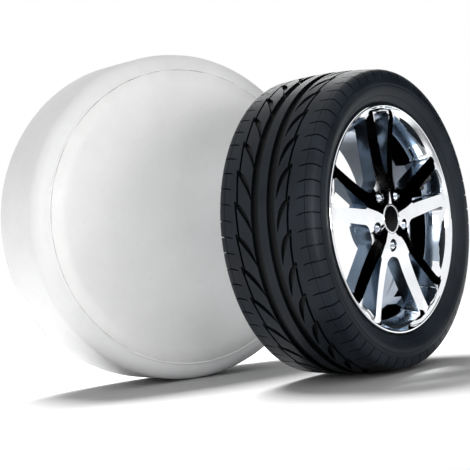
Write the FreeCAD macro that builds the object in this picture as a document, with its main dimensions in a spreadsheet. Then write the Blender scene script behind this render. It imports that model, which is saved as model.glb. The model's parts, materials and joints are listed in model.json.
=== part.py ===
"""A wheel cover set: a vinyl cover pulled over an upright wheel, and a second wheel shown bare beside it.

Lengths are millimetres. +Z is up, the floor is z = 0 and the origin is under the middle of the set.
Every wheel piece is drawn in its wheel's own frame: X and Y lie in the wheel's plane, and Z is the
axle, with 0 halfway across the tyre and + towards the outside face. The cover faces -Y.
"""
import FreeCAD
import Part
import Sketcher
import math
import os
import re

DRIVING_SIZES = {
    # Where the two wheels stand, and how far the bare one is turned about the vertical.
    "cover_x": -69.1,
    "cover_y": 325.1,
    "display_x": 110.9,
    "display_y": -222.9,
    "display_turn": 24.9,
    # Tyres: the bare one is low, the covered one is tall, and both fit the same rim.
    "display_crown": 326.6,
    "covered_crown": 375.6,
    "display_shoulder_drop": 10,
    "covered_shoulder_drop": 25,
    "display_tread_half": 103,
    "covered_tread_half": 98,
    "display_shoulder_half": 115,
    "covered_shoulder_half": 104,
    "display_widest": 282,
    "covered_widest": 305,
    "section_half": 124,
    "crown_arc": 880,
    "tread_depth": 8,
    "inner_groove": 38,
    "inner_groove_width": 9,
    "outer_groove": 72,
    "outer_groove_width": 3.5,
    "edge_arc": 15,
    "shoulder_arc": 60,
    "sidewall_arc": 90,
    "bead_wire": 7,
    # Alloy wheel casting, 18 inch.
    "lip_radius": 246,
    "seat_radius": 229,
    "well_radius": 205,
    "rim_half": 112,
    "rim_wall": 6,
    "mount_face": 45,
    "hub_face": 105,
    "hub_edge": 60,
    "hub_bore": 36.55,
    "pad_radius": 75,
    "spoke_back": 71,
    "spoke_count": 5,
    "window_root": 85,
    "window_root_half": 20,
    "window_tip": 202,
    "window_tip_half": 78,
    "slot_root": 96,
    "slot_root_half": 5,
    "slot_tip": 214.5,
    "slot_tip_half": 29,
    "rim_well_half": 50,
    "rim_well_inboard": 10,
    "lug_circle": 57.15,
    "lug_hole": 7,
    "lug_well": 14,
    "lug_seat": 16,
    # Centre cap and its chrome ring.
    "cap_bore": 28,
    "cap_radius": 31.75,
    "cap_disc": 27.1,
    # Tyre valve, set on the slope between the well and the outer bead seat.
    "valve_angle": 18,
    "valve_tilt": -48,
    "valve_at_radius": 211.5,
    "valve_at_axle": 61.5,
    "valve_hole": 5.7,
    "valve_tube": 2.6,
    "valve_thread": 3.85,
    "valve_bore": 1.8,
    "valve_pin": 0.7,
    "valve_hole_length": 16,
    "coil_wire": 0.18,
    "coil_pitch": 1.2,
    "coil_height": 7.2,
    # Cover: radii from the axle, and places along it.
    "cover_crown": 378.2,
    "cover_front": 127.2,
    "cover_edge": 116,
    "panel_flat": 305,
    "panel_bend": 60,
    "shoulder_bend": 40,
    "skirt_bend": 110,
    "seam_radius": 341.2,
    "cover_crown_half": 84,
    "vinyl": 1.2,
    "welt_wire": 2.2,
    "hem_radius": 284,
    "hem_depth": 131,
    "hem_casing": 5,
    "elastic": 3,
}

doc = FreeCAD.newDocument("wheel_cover_set")
sheet = doc.addObject("Spreadsheet::Sheet", "size")
for row, (alias, number) in enumerate(DRIVING_SIZES.items(), start=1):
    sheet.set(f"A{row}", alias)
    sheet.set(f"B{row}", str(number))
    sheet.setAlias(f"B{row}", alias)
doc.recompute()

FACE_ON = "create(<<rotation>>; {turn}; 0; 90)"
PLACE = "create(<<placement>>; create(<<vector>>; {x}; {y}; {z}); {rotation})"
ALIAS = re.compile(r"\b(" + "|".join(DRIVING_SIZES) + r")\b")
parts = []


def bound(formula):
    """The formula with each driving size named as the sheet's own cell."""
    return ALIAS.sub(r"size.\1", formula)


def worth(formula):
    """What a formula comes to now."""
    found = sheet.evalExpression(bound(formula))
    return float(getattr(found, "Value", found))


def place(x, y, z, rotation):
    return PLACE.format(x=x, y=y, z=z, rotation=rotation)


WHEELS = {
    "display": place("display_x", "display_y", "display_crown", FACE_ON.format(turn="display_turn")),
    "covered": place("cover_x", "cover_y", "cover_crown", FACE_ON.format(turn="0")),
}
ROUND_TO_VALVE = place("0", "0", "0", "create(<<rotation>>; valve_angle; 0; 0)")
OUT_TO_VALVE = place("valve_at_radius", "0", "valve_at_axle", "create(<<rotation>>; 0; valve_tilt; 0)")


def new_body(label, placement):
    body = doc.addObject("PartDesign::Body", label)
    body.Label = label
    body.setExpression("Placement", bound(placement))
    parts.append(body)
    return body


def new_sketch(body, name, plane="XZ_Plane", height="0"):
    """An empty sketch on one of the body's own origin planes, raised along that plane's normal."""
    sketch = body.newObject("Sketcher::SketchObject", name)
    support = [item for item in body.Origin.OriginFeatures if item.Role == plane][0]
    sketch.AttachmentSupport = [(support, "")]
    sketch.MapMode = "FlatFace"
    sketch.setExpression("AttachmentOffset.Base.z", bound(height))
    return sketch


def bowed(start, end, radius):
    """The arc from start to end that bows to the right of its travel, or to the left if minus."""
    middle = (start + end) / 2
    along = end - start
    right = FreeCAD.Vector(along.y, -along.x, 0).normalize()
    rise = abs(radius) - math.sqrt(radius**2 - (along.Length / 2) ** 2)
    return Part.Arc(start, middle + right * math.copysign(rise, radius), end)


def pin_down(sketch, edge, vertex, direction, formula):
    """Hold one coordinate of a vertex at a formula, or on the sketch's axis where it is 0."""
    if formula == "0":
        axis = {"DistanceX": -2, "DistanceY": -1}[direction]
        sketch.addConstraint(Sketcher.Constraint("PointOnObject", edge, vertex, axis))
        return
    held = sketch.addConstraint(Sketcher.Constraint(direction, edge, vertex, worth(formula)))
    sketch.setExpression(f"Constraints[{held}]", bound(formula))


def draw_outline(sketch, corners):
    """A closed outline. A corner is (across, up), or (across, up, radius of the arc to the next)."""
    points = [FreeCAD.Vector(worth(corner[0]), worth(corner[1]), 0) for corner in corners]
    ends = []
    for number, corner in enumerate(corners):
        start = points[number]
        end = points[(number + 1) % len(points)]
        if len(corner) == 2:
            edge = sketch.addGeometry(Part.LineSegment(start, end), False)
        else:
            edge = sketch.addGeometry(bowed(start, end, worth(corner[2])), False)
        first = 1 if sketch.getPoint(edge, 1).distanceToPoint(start) < 1e-6 else 2
        ends.append((edge, first, 3 - first))
    for number, (edge, first, last) in enumerate(ends):
        following, its_first, _ = ends[(number + 1) % len(ends)]
        sketch.addConstraint(Sketcher.Constraint("Coincident", edge, last, following, its_first))
        pin_down(sketch, edge, first, "DistanceX", corners[number][0])
        pin_down(sketch, edge, first, "DistanceY", corners[number][1])
        if len(corners[number]) == 3:
            radius = f"abs({corners[number][2]})"
            held = sketch.addConstraint(Sketcher.Constraint("Radius", edge, worth(radius)))
            sketch.setExpression(f"Constraints[{held}]", bound(radius))


def draw_circle(sketch, across, up, radius):
    centre = FreeCAD.Vector(worth(across), worth(up), 0)
    edge = sketch.addGeometry(Part.Circle(centre, FreeCAD.Vector(0, 0, 1), worth(radius)), False)
    pin_down(sketch, edge, 3, "DistanceX", across)
    pin_down(sketch, edge, 3, "DistanceY", up)
    held = sketch.addConstraint(Sketcher.Constraint("Radius", edge, worth(radius)))
    sketch.setExpression(f"Constraints[{held}]", bound(radius))


def spin(body, kind, name, sketch):
    """A full Revolution or Groove of a sketch about the axle."""
    turned = body.newObject(f"PartDesign::{kind}", name)
    turned.Profile = sketch
    turned.ReferenceAxis = (sketch, ["V_Axis"])
    turned.Angle = 360
    doc.recompute()
    return turned


def turned_piece(label, placement, outlines):
    """A body made by turning closed outlines, drawn as (radius, height), about its own Z."""
    body = new_body(label, placement)
    sketch = new_sketch(body, label + "_profile")
    for corners in outlines:
        draw_outline(sketch, corners)
    spin(body, "Revolution", label + "_turned", sketch)
    return body


def ring_piece(label, placement, circles):
    """A body made by turning circles, drawn as (radius, height, size): a cord, or a tube if nested."""
    body = new_body(label, placement)
    sketch = new_sketch(body, label + "_section")
    for across, up, radius in circles:
        draw_circle(sketch, across, up, radius)
    spin(body, "Revolution", label + "_turned", sketch)
    return body


def cut_around(body, name, draw, count, height, depth):
    """A pocket sunk from a height along the axle, repeated evenly around it."""
    before = body.Shape.Volume
    sketch = new_sketch(body, name + "_outline", "XY_Plane", height)
    draw(sketch)
    pocket = body.newObject("PartDesign::Pocket", name)
    pocket.Profile = sketch
    pocket.Type = 0
    pocket.setExpression("Length", bound(depth))
    doc.recompute()
    pattern = body.newObject("PartDesign::PolarPattern", name + "_around")
    pattern.Originals = [pocket]
    pattern.Axis = (sketch, ["N_Axis"])
    pattern.Angle = 360
    pattern.setExpression("Occurrences", bound(count))
    body.Tip = pattern
    doc.recompute()
    if body.Shape.Volume > before - 1:
        raise RuntimeError(name + " cut nothing")


def mirrored(half):
    """A half outline with its reflection across the wheel's middle, in one run from inside to outside."""
    other = []
    for number in range(len(half) - 1, -1, -1):
        across, up = half[number][:2]
        arc = half[number - 1][2:] if number else ()
        other.append((across, f"-({up})") + tuple(arc))
    return other


def add_tyre(wheel):
    crown = wheel + "_crown"
    tread_half = wheel + "_tread_half"
    widest = wheel + "_widest"
    shoulder = f"{crown} - {wheel}_shoulder_drop"
    edge = f"{crown} - crown_arc + sqrt(crown_arc^2 - {tread_half}^2)"
    outside = [
        (edge, tread_half, "edge_arc"),
        (shoulder, f"{wheel}_shoulder_half", "shoulder_arc"),
        (widest, "section_half", "sidewall_arc"),
        ("lip_radius + 4", "rim_half - 4"),
        ("lip_radius + 0.5", "rim_half - 8.7"),
        ("seat_radius + 1.4", "rim_half - 11.7"),
        ("seat_radius - 1.1", "rim_half - 28"),
    ]
    inside = [
        ("lip_radius + 2", "section_half - 36", "-52"),
        (f"{widest} - 4", "section_half - 10", "-48"),
        (f"{edge} - 14", f"{tread_half} - 8"),
    ]
    outline = mirrored(outside)
    outline[-1] = (edge, f"-({tread_half})", "crown_arc")
    outline += outside + inside + mirrored(inside)
    body = turned_piece(wheel + "_tyre", WHEELS[wheel], [outline])
    grooves = new_sketch(body, wheel + "_tread_grooves")
    for at in ("inner_groove", "outer_groove"):
        for side in ("", "-"):
            low = f"{side}{at} - {at}_width / 2"
            high = f"{side}{at} + {at}_width / 2"
            floor = f"{crown} - {at}^2 / (2 * crown_arc) - tread_depth"
            draw_outline(grooves, [(floor, low), (f"{crown} + 5", low), (f"{crown} + 5", high), (floor, high)])
    spin(body, "Groove", wheel + "_tread_cut", grooves)
    cavities = new_sketch(body, wheel + "_bead_cavities")
    for corners in bead_sections():
        draw_outline(cavities, corners)
    spin(body, "Groove", wheel + "_bead_cut", cavities)
    turned_piece(wheel + "_bead_cores", WHEELS[wheel], bead_sections())


def bead_sections():
    """The two square bundles of bead wire, one in each edge of the tyre."""
    low = "seat_radius + 5"
    high = f"{low} + bead_wire"
    near = "rim_half - 24"
    far = f"{near} + bead_wire"
    outboard = [(low, near), (high, near), (high, far), (low, far)]
    inboard = [(low, f"-({far})"), (high, f"-({far})"), (high, f"-({near})"), (low, f"-({near})")]
    return [outboard, inboard]


def draw_window(sketch):
    """The wide gap between two neighbouring pairs of spokes, centred below the hub."""
    corners = [
        ("-window_root_half", "-window_root"),
        ("-window_tip_half", "-window_tip", "lip_radius - 29.5"),
        ("window_tip_half", "-window_tip"),
        ("window_root_half", "-window_root"),
    ]
    draw_outline(sketch, corners)


def draw_slot(sketch):
    """The narrow gap between the two spokes of a pair, centred above the hub."""
    corners = [
        ("slot_root_half", "slot_root"),
        ("slot_tip_half", "slot_tip", "lip_radius - 29.5"),
        ("-slot_tip_half", "slot_tip"),
        ("-slot_root_half", "slot_root"),
    ]
    draw_outline(sketch, corners)


def add_alloy_wheel(wheel):
    inner = "seat_radius - 5 - rim_wall"
    well_inner = "well_radius - rim_wall"
    outline = [
        ("hub_bore", "mount_face"),
        ("pad_radius", "mount_face"),
        ("pad_radius + 7", "spoke_back"),
        (inner, "spoke_back + 2"),
        (well_inner, "rim_well_half + 2"),
        (well_inner, "rim_well_inboard - 2"),
        (inner, "-(rim_well_inboard + 2)"),
        (inner, "-(rim_half - 11)"),
        ("seat_radius + 1", "-(rim_half - 3)"),
        ("lip_radius - 8", "-rim_half"),
        ("lip_radius", "-rim_half"),
        ("lip_radius", "-(rim_half - 8)"),
        ("seat_radius + 1", "-(rim_half - 11)"),
        ("seat_radius - 2", "-(rim_half - 30)"),
        ("seat_radius - 5", "-(rim_half - 36)"),
        ("seat_radius - 5", "-rim_well_inboard"),
        ("well_radius", "rim_well_inboard"),
        ("well_radius", "rim_well_half"),
        ("seat_radius - 5", "spoke_back"),
        ("seat_radius - 2", "rim_half - 30"),
        ("seat_radius + 1", "rim_half - 11"),
        ("lip_radius", "rim_half - 8"),
        ("lip_radius", "rim_half", "8"),
        ("lip_radius - 6", "rim_half + 0.5"),
        ("lip_radius - 13", "rim_half - 4"),
        ("lip_radius - 46", "rim_half - 12"),
        ("2 * hub_edge", "hub_face - 9"),
        ("hub_edge", "hub_face"),
        ("cap_radius + 0.5", "hub_face"),
        ("cap_radius + 0.5", "hub_face - 3"),
        ("cap_bore", "hub_face - 3"),
        ("cap_bore", "hub_face - 17"),
        ("hub_bore", "hub_face - 21"),
    ]
    body = turned_piece(wheel + "_alloy_wheel", WHEELS[wheel], [outline])
    depth = "rim_half + 8 - spoke_back"
    cut_around(body, wheel + "_windows", draw_window, "spoke_count", "rim_half + 8", depth)
    cut_around(body, wheel + "_slots", draw_slot, "spoke_count", "rim_half + 8", depth)
    add_lug_holes(body, wheel)
    bore_valve_hole(body, wheel)


def add_lug_holes(body, wheel):
    """Five wheel-bolt holes between the pairs of spokes, each a well, a cone seat and a hole."""
    before = body.Shape.Volume
    sketch = new_sketch(body, wheel + "_lug_profile", "YZ_Plane")
    corners = [
        ("-lug_circle", "mount_face - 1"),
        ("lug_hole - lug_circle", "mount_face - 1"),
        ("lug_hole - lug_circle", "mount_face + lug_seat"),
        ("lug_well - lug_circle", "mount_face + lug_seat + lug_well - lug_hole"),
        ("lug_well - lug_circle", "hub_face + 3"),
        ("-lug_circle", "hub_face + 3"),
    ]
    draw_outline(sketch, corners)
    hole = body.newObject("PartDesign::Groove", wheel + "_lug")
    hole.Profile = sketch
    hole.ReferenceAxis = (sketch, ["Edge6"])
    hole.Angle = 360
    doc.recompute()
    pattern = body.newObject("PartDesign::PolarPattern", wheel + "_lugs")
    pattern.Originals = [hole]
    pattern.Axis = (sketch, ["V_Axis"])
    pattern.Angle = 360
    pattern.setExpression("Occurrences", bound("spoke_count"))
    body.Tip = pattern
    doc.recompute()
    if body.Shape.Volume > before - 1:
        raise RuntimeError("the lug holes cut nothing")


def bore_valve_hole(body, wheel):
    """The hole the valve snaps into, square to the slope of the well."""
    before = body.Shape.Volume
    sketch = body.newObject("Sketcher::SketchObject", wheel + "_valve_hole_outline")
    support = [item for item in body.Origin.OriginFeatures if item.Role == "XY_Plane"][0]
    sketch.AttachmentSupport = [(support, "")]
    sketch.MapMode = "FlatFace"
    sketch.setExpression("AttachmentOffset", bound(f"{ROUND_TO_VALVE} * {OUT_TO_VALVE}"))
    draw_circle(sketch, "0", "0", "valve_hole")
    hole = body.newObject("PartDesign::Pocket", wheel + "_valve_hole")
    hole.Profile = sketch
    hole.Type = 0
    hole.Midplane = True
    hole.setExpression("Length", bound("valve_hole_length"))
    doc.recompute()
    if body.Shape.Volume > before - 1:
        raise RuntimeError("the valve hole cut nothing")


def add_centre_cap(wheel):
    """A snap-in cap: a disc with a flange, and a skirt slit into legs that a wire ring holds out."""
    outline = [
        ("0", "hub_face - 2.7"),
        ("cap_bore - 3.5", "hub_face - 2.7"),
        ("cap_bore - 3.5", "hub_face - 15.5"),
        ("cap_bore - 0.4", "hub_face - 15.5"),
        ("cap_bore - 0.4", "hub_face - 2.7"),
        ("cap_radius - 0.1", "hub_face - 2.7"),
        ("cap_radius - 0.1", "hub_face - 1.4"),
        ("cap_disc", "hub_face - 1.4"),
        ("cap_disc", "hub_face + 0.4"),
        ("0", "hub_face + 1"),
    ]
    body = turned_piece(wheel + "_centre_cap", WHEELS[wheel], [outline])

    def slit(sketch):
        corners = [("22", "-2"), ("cap_bore + 1", "-2"), ("cap_bore + 1", "2"), ("22", "2")]
        draw_outline(sketch, corners)

    cut_around(body, wheel + "_cap_slits", slit, "6", "hub_face - 5", "12")
    chrome = [
        ("cap_disc + 0.15", "hub_face - 1.35"),
        ("cap_radius - 0.1", "hub_face - 1.35"),
        ("cap_radius - 0.1", "hub_face + 0.2", "3.2"),
        ("cap_disc + 0.15", "hub_face + 0.8"),
    ]
    turned_piece(wheel + "_cap_ring", WHEELS[wheel], [chrome])
    ring_piece(wheel + "_cap_spring", WHEELS[wheel], [("cap_bore - 4.5", "hub_face - 11", "0.9")])


def add_valve(wheel):
    """A snap-in tyre valve: rubber stem, brass tube, core, sprung pin and cap, about its own axis."""
    here = f"{WHEELS[wheel]} * {ROUND_TO_VALVE} * {OUT_TO_VALVE}"
    stem = [
        ("valve_tube", "-12"),
        ("8.6", "-12"),
        ("8.6", "-3.7"),
        ("valve_hole - 0.1", "-3.7"),
        ("valve_hole - 0.1", "3.7"),
        ("7.6", "3.8"),
        ("7", "8"),
        ("4.9", "20"),
        ("valve_tube", "20"),
    ]
    turned_piece(wheel + "_valve_stem", here, [stem])
    tube = [
        ("valve_bore / 2", "-9"),
        ("valve_tube", "-9"),
        ("valve_tube", "20.1"),
        ("valve_thread", "20.1"),
        ("valve_thread", "30"),
        ("valve_bore", "30"),
        ("valve_bore", "2"),
        ("valve_bore / 2", "2"),
    ]
    turned_piece(wheel + "_valve_tube", here, [tube])
    core = [
        ("valve_pin + 0.05", "14"),
        ("valve_bore - 0.05", "14"),
        ("valve_bore - 0.05", "28"),
        ("valve_pin + 0.05", "28"),
    ]
    turned_piece(wheel + "_valve_core", here, [core])
    pin = [
        ("0", "10"),
        ("2 * valve_pin", "10"),
        ("2 * valve_pin", "13.7"),
        ("valve_pin", "13.7"),
        ("valve_pin", "29.3"),
        ("0", "29.3"),
    ]
    turned_piece(wheel + "_valve_pin", here, [pin])
    add_valve_spring(wheel, here)
    cap = [
        ("valve_thread + 0.35", "20.6"),
        ("valve_thread + 1.4", "20.6"),
        ("valve_thread + 1.4", "32"),
        ("valve_thread + 0.7", "33"),
        ("0", "33"),
        ("0", "31"),
        ("valve_thread + 0.35", "31"),
    ]
    turned_piece(wheel + "_valve_cap", here, [cap])


def add_valve_spring(wheel, here):
    """The wire coil between the tube's inner step and the pin's head."""
    body = new_body(wheel + "_valve_spring", here)
    sketch = new_sketch(body, wheel + "_spring_wire")
    draw_circle(sketch, "valve_bore - 0.5", "2.3", "coil_wire")
    coil = body.newObject("PartDesign::AdditiveHelix", wheel + "_spring_coil")
    coil.Profile = sketch
    coil.ReferenceAxis = (sketch, ["V_Axis"])
    coil.Mode = 0
    coil.setExpression("Pitch", bound("coil_pitch"))
    coil.setExpression("Height", bound("coil_height"))
    doc.recompute()


def add_cover():
    """The cover: a round front panel, a welted seam, a side band, and a gathered skirt with elastic."""
    here = WHEELS["covered"]
    flat = "cover_front - vinyl"
    panel_edge = "seam_radius - welt_wire - 0.1"
    panel = [
        ("0", flat),
        ("panel_flat", flat, "-panel_bend"),
        (panel_edge, "cover_edge - vinyl"),
        (panel_edge, "cover_edge", "panel_bend + vinyl"),
        ("panel_flat", "cover_front"),
        ("0", "cover_front"),
    ]
    turned_piece("cover_front_panel", here, [panel])
    ring_piece("cover_welt", here, [("seam_radius", "cover_edge + 1.4", "welt_wire")])
    band_edge = "seam_radius + welt_wire + 0.1"
    inner_crown = "cover_crown - vinyl"
    band = [
        ("cover_crown", "-cover_crown_half"),
        ("cover_crown", "cover_crown_half", "shoulder_bend"),
        (band_edge, "cover_edge + 0.2"),
        (band_edge, "cover_edge - vinyl", "-(shoulder_bend - vinyl)"),
        (inner_crown, "cover_crown_half"),
        (inner_crown, "-cover_crown_half"),
    ]
    turned_piece("cover_side_band", here, [band])
    skirt_start = "-(cover_crown_half + 0.1)"
    shoulder = "seam_radius + welt_wire"
    skirt_end = "hem_radius + hem_casing + 0.1"
    skirt = [
        (skirt_end, "-hem_depth", "skirt_bend"),
        (shoulder, "-(cover_edge + 0.2)", "shoulder_bend"),
        ("cover_crown", skirt_start),
        (inner_crown, skirt_start, "-(shoulder_bend - vinyl)"),
        (shoulder, "-(cover_edge - vinyl + 0.2)", "-(skirt_bend - vinyl)"),
        (skirt_end, "-(hem_depth - vinyl)"),
    ]
    turned_piece("cover_rear_skirt", here, [skirt])
    casing = [
        ("hem_radius", "-hem_depth", "hem_casing"),
        ("hem_radius", "-hem_depth", "hem_casing - vinyl"),
    ]
    ring_piece("cover_hem_casing", here, casing)
    ring_piece("cover_elastic", here, [("hem_radius", "-hem_depth", "elastic")])


def write_parts():
    """Stop on anything that failed, then write one STEP file per sub-part."""
    doc.recompute()
    for item in doc.Objects:
        if "Invalid" in item.State or "Error" in item.State:
            raise RuntimeError(f"{item.Label} is {item.State}")
    os.makedirs("parts", exist_ok=True)
    box = FreeCAD.BoundBox()
    for body in parts:
        shape = body.Shape
        if shape.isNull() or not shape.isValid() or shape.Volume <= 0:
            raise RuntimeError(body.Label + " has no valid shape")
        box.add(shape.optimalBoundingBox(False))
        shape.exportStep(f"parts/{body.Label}.step")
        print(f"{body.Label}: {len(shape.Solids)} solid, {shape.Volume / 1000:.2f} cm3")
    print(f"box {box.XMin:.1f} {box.XMax:.1f}, {box.YMin:.1f} {box.YMax:.1f}, {box.ZMin:.2f} {box.ZMax:.1f}")


add_cover()
for name in WHEELS:
    add_tyre(name)
    add_alloy_wheel(name)
    add_centre_cap(name)
    add_valve(name)
write_parts()
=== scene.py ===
# %% [markdown]
# # A wheel cover set
# A white vinyl cover pulled over an upright wheel, and a second wheel shown bare beside it: a black
# tyre with a directional tread on a chromed alloy wheel. The frame holds both wheels and the cover as
# plain solids. This script dresses them: it reads where everything is from the frame and builds the
# pieces that show, one after another.

# %% Load the frame
import bmesh
import bpy
import json
import math
from mathutils import Matrix, Vector, noise


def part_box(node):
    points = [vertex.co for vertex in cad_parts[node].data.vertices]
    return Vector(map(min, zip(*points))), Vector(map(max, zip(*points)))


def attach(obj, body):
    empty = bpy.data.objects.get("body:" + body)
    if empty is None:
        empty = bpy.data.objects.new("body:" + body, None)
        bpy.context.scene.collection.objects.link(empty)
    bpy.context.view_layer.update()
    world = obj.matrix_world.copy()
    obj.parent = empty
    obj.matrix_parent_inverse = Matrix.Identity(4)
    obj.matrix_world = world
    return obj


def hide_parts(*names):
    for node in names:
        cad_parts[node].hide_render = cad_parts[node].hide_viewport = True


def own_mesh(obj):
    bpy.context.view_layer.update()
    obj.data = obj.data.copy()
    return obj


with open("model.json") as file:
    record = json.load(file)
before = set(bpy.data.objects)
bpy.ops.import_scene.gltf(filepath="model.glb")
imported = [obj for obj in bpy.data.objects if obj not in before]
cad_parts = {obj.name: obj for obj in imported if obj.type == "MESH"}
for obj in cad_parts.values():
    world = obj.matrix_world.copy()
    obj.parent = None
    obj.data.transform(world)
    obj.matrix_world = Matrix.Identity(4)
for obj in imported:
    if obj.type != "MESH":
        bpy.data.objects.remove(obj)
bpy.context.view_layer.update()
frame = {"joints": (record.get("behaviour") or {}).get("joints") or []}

MM = 0.001

# %% [markdown]
# ## Where the wheels stand
# A wheel is easiest to model lying flat on its own axle, with Z pointing out of its face and Y up.
# One matrix per wheel then carries each finished mesh to its place. The joints of the frame say
# where each axle is, and the boxes of the tyres say how tall they are.

# %% Wheel frames
JOINTS = {joint["name"]: joint for joint in frame["joints"]}


def wheel_frame(centre, axle):
    """The matrix from a wheel's own frame to the object's."""
    outward = Vector(axle).normalized()
    up = Vector((0, 0, 1))
    place = Matrix((up.cross(outward), up, outward)).transposed().to_4x4()
    place.translation = Vector(centre)
    return place


def middle_of(node):
    low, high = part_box(node)
    return (Vector(low) + Vector(high)) / 2


def height_of(node):
    low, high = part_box(node)
    return high[2] - low[2]


roll = JOINTS["display_wheel_roll"]
pull = JOINTS["covered_wheel_pull_out"]
PLACE = {
    "display": wheel_frame(roll["pos_m"], roll["axis"]),
    "covered": wheel_frame(middle_of("cover_side_band"), -Vector(pull["axis"])),
}
CROWN = {wheel: height_of(wheel + "_tyre") / 2 for wheel in PLACE}
COVER_CROWN = height_of("cover_side_band") / 2
LIP = height_of("display_alloy_wheel") / 2
print("crown radii:", CROWN, "rim edge radius:", LIP)

# %% [markdown]
# ## The camera
# A long lens, low down and a little to the left, looks at the face of the cover and along the tread
# of the bare wheel. It is tilted about its own axis, so that the nearer wheel seems to stand higher.

# %% Camera
CAMERA_AZIMUTH = math.radians(-28.9)
CAMERA_ELEVATION = math.radians(0.9)
CAMERA_TILT = math.radians(6.15)
CAMERA_DISTANCE = 4.266
LENS_MM = 145.8
SENSOR_MM = 36
AIM_HEIGHT = 0.35
AIM_LEFT = 0.046
AIM_BELOW = 0.0257


def add_camera():
    back = Vector((
        math.sin(CAMERA_AZIMUTH) * math.cos(CAMERA_ELEVATION),
        -math.cos(CAMERA_AZIMUTH) * math.cos(CAMERA_ELEVATION),
        math.sin(CAMERA_ELEVATION),
    ))
    right = Vector((math.cos(CAMERA_AZIMUTH), math.sin(CAMERA_AZIMUTH), 0))
    up = back.cross(right)
    aim = Vector((0, 0, AIM_HEIGHT)) - AIM_LEFT * right - AIM_BELOW * up
    turn = Matrix((right, up, back)).transposed().to_4x4() @ Matrix.Rotation(-CAMERA_TILT, 4, "Z")
    camera = bpy.data.objects.new("camera", bpy.data.cameras.new("camera"))
    camera.data.lens = LENS_MM
    camera.data.sensor_width = SENSOR_MM
    camera.data.clip_end = 50
    camera.matrix_world = Matrix.Translation(aim + CAMERA_DISTANCE * back) @ turn
    bpy.context.scene.collection.objects.link(camera)
    bpy.context.scene.camera = camera
    print("camera at", [round(x, 3) for x in camera.matrix_world.translation])


add_camera()

# %% [markdown]
# ## Building materials
# Every finish here is a small network of nodes on one Principled shader. A small class keeps them
# short: it starts a material, adds nodes with their sockets set, and wires them to the shader.

# %% Material helpers
class Finish:
    """A material in the making: its shader, its object coordinates and a way to add nodes."""

    def __init__(self, name, **sockets):
        self.material = bpy.data.materials.new(name)
        self.material.use_nodes = True
        self.tree = self.material.node_tree
        self.shader = self.tree.nodes["Principled BSDF"]
        self.where = self.tree.nodes.new("ShaderNodeTexCoord").outputs["Object"]
        for socket, value in sockets.items():
            self.shader.inputs[socket.replace("_", " ")].default_value = value

    def add(self, kind, **sockets):
        """A node of that kind. A socket given another socket is linked to it."""
        node = self.tree.nodes.new("ShaderNode" + kind)
        for socket, value in sockets.items():
            target = node.inputs[socket.replace("_", " ")]
            if isinstance(value, bpy.types.NodeSocket):
                self.tree.links.new(value, target)
            else:
                target.default_value = value
        return node

    def noise(self, scale, detail=4, roughness=0.5):
        node = self.add("TexNoise", Scale=scale, Detail=detail, Roughness=roughness, Vector=self.where)
        return node.outputs["Fac"]

    def spread(self, value, low, high, start=0.0, end=1.0):
        """The value, stretched from start..end to low..high."""
        node = self.add("MapRange", Value=value)
        node.inputs["From Min"].default_value = start
        node.inputs["From Max"].default_value = end
        node.inputs["To Min"].default_value = low
        node.inputs["To Max"].default_value = high
        return node.outputs["Result"]

    def mix(self, factor, first, second):
        """A colour between two, by a factor."""
        node = self.add("Mix")
        node.data_type = "RGBA"
        self.tree.links.new(factor, node.inputs[0])
        for socket, value in ((node.inputs[6], first), (node.inputs[7], second)):
            if isinstance(value, bpy.types.NodeSocket):
                self.tree.links.new(value, socket)
            else:
                socket.default_value = (*value, 1)
        return node.outputs[2]

    def paint(self, socket, value):
        self.tree.links.new(value, self.shader.inputs[socket])

    def bump(self, height, strength, distance, under=None):
        node = self.add("Bump", Strength=strength, Distance=distance, Height=height)
        if under:
            self.tree.links.new(under, node.inputs["Normal"])
        self.tree.links.new(node.outputs["Normal"], self.shader.inputs["Normal"])
        return node.outputs["Normal"]


# %% [markdown]
# ## Rubber
# Tyre rubber is a dark slate rather than black. Its mould leaves it almost smooth, with a fine
# grain, and handling leaves it patchy: a little greyer here, a little shinier there. Two noises do
# that, one coarse for the patches and one fine for the grain.

# %% Tyre rubber
def tyre_rubber():
    finish = Finish("tyre_rubber", IOR=1.25)
    patches = finish.noise(9, detail=5, roughness=0.6)
    grain = finish.noise(900, detail=3)
    dark = (0.0040, 0.0058, 0.0085)
    pale = (0.0095, 0.0130, 0.0180)
    skin = finish.mix(finish.spread(patches, 0, 1, 0.35, 0.7), dark, pale)
    # Painted shade: the grooves are darkened towards their floors, by each point's depth below the tread.
    depth = finish.add("Attribute")
    depth.attribute_name = "depth"
    groove_shade = finish.spread(depth.outputs["Fac"], 0, 0.92, 0.005, 0.14)
    finish.paint("Base Color", finish.mix(groove_shade, skin, (0.0006, 0.0008, 0.0012)))
    finish.paint("Roughness", finish.spread(patches, 0.36, 0.5, 0.3, 0.7))
    finish.bump(grain, 0.25, 0.0004)
    return finish.material


RUBBER = tyre_rubber()

# %% [markdown]
# ## The section of a tyre
# The outside of a tyre is one smooth line from bead to bead. The tread has to be wrapped on it, so
# it is measured along the line: how far across from the middle, and how far in from the surface.
# The line is made of arcs, the same ones as the frame's tyre, walked in small steps.

# %% Tyre section
CROWN_ARC = 0.880
TREAD_EDGE = {"display": 0.103, "covered": 0.098}
SHOULDER = {"display": (0.010, 0.115), "covered": (0.025, 0.104)}
WIDEST = {"display": (0.282, 0.124), "covered": (0.305, 0.124)}
RIM_TOUCH = (0.250, 0.108)
TREAD_CORNER = 0.015
UPPER_WALL = 0.060
LOWER_WALL = 0.090


def arc_points(start, end, radius, steps):
    """Points along the arc from start to end, bowed to the right of its travel."""
    start = Vector(start)
    end = Vector(end)
    along = end - start
    right = Vector((along.y, -along.x)).normalized()
    centre = (start + end) / 2 - right * math.sqrt(radius**2 - (along.length / 2) ** 2)
    first = start - centre
    sweep = first.angle_signed(end - centre)
    return [centre + Matrix.Rotation(-sweep * n / steps, 2) @ first for n in range(steps + 1)]


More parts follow.
